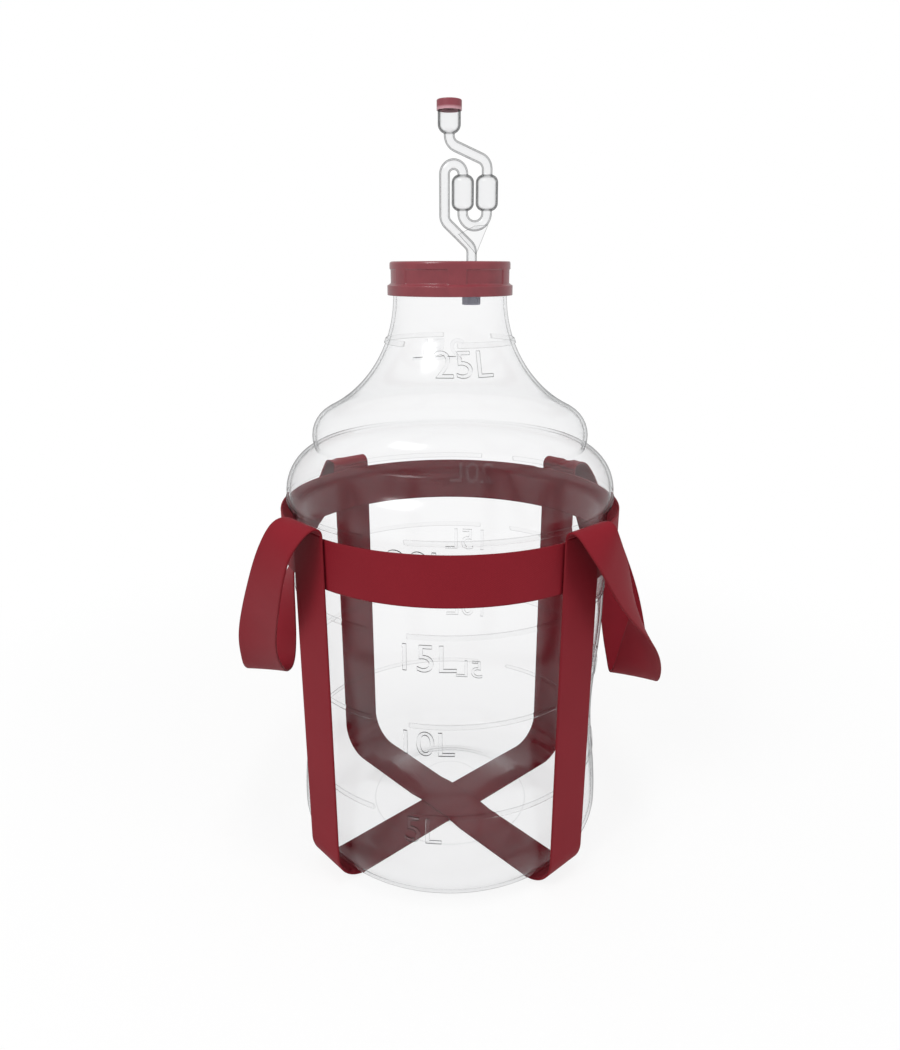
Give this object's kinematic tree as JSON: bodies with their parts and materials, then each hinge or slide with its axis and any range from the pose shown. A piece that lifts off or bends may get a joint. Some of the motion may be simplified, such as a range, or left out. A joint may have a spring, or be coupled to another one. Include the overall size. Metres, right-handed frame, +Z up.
{
  "type": "demijohn",
  "caption": "Clear wide-neck plastic demijohn with level ribs, in a webbing harness with two hanging carry loops, a screw cap and an S-shaped airlock.",
  "frame": {"origin": "on the bottle's axis, at the plane that the straps under the base stand on", "axes": "+Z up along the bottle's axis, -Y towards the viewer, +X towards the airlock's side"},
  "size_m": [0.401, 0.3072, 0.6639],
  "materials": {
    "clear_plastic": "clear blown plastic, glossy and slightly grey",
    "webbing": "dark red smooth woven webbing",
    "cap_plastic": "dark red satin moulded plastic",
    "gasket_foam": "pale soft foam",
    "grommet_rubber": "mid-grey soft rubber",
    "airlock_plastic": "clear rigid plastic",
    "dust_cap_plastic": "soft red plastic"
  },
  "bodies": {
    "bottle_body": {"bottle_foot": "clear_plastic", "bottle_wall": "clear_plastic", "bottle_shoulder": "clear_plastic", "bottle_neck": "clear_plastic", "belt": "webbing", "strap_a": "webbing", "strap_b": "webbing", "handle_left": "webbing", "handle_right": "webbing"},
    "gasket_body": {"cap_gasket": "gasket_foam"},
    "cap_body": {"screw_cap": "cap_plastic", "airlock_grommet": "grommet_rubber"},
    "airlock_body": {"airlock_stem": "airlock_plastic", "airlock_trap": "airlock_plastic", "airlock_top": "airlock_plastic"},
    "dust_cap_body": {"airlock_cap": "dust_cap_plastic"}
  },
  "joints": [
    {"name": "cap_rise", "type": "slide", "parent": "bottle_body", "child": "gasket_body", "axis": [0, 0, 1], "range_m": [0, 0.012]},
    {"name": "cap_turn", "type": "hinge", "parent": "gasket_body", "child": "cap_body", "pos_m": [0, 0, 0.53], "axis": [0, 0, 1], "range_deg": [0, 720]},
    {"name": "airlock_pull", "type": "slide", "parent": "cap_body", "child": "airlock_body", "axis": [0, 0, 1], "range_m": [0, 0.036]},
    {"name": "dust_cap_pull", "type": "slide", "parent": "airlock_body", "child": "dust_cap_body", "axis": [0, 0, 1], "range_m": [0, 0.012]}
  ],
  "couplings": [
    {"joint": "cap_rise", "follows": "cap_turn", "m_per_rad": 0.00095493}
  ]
}
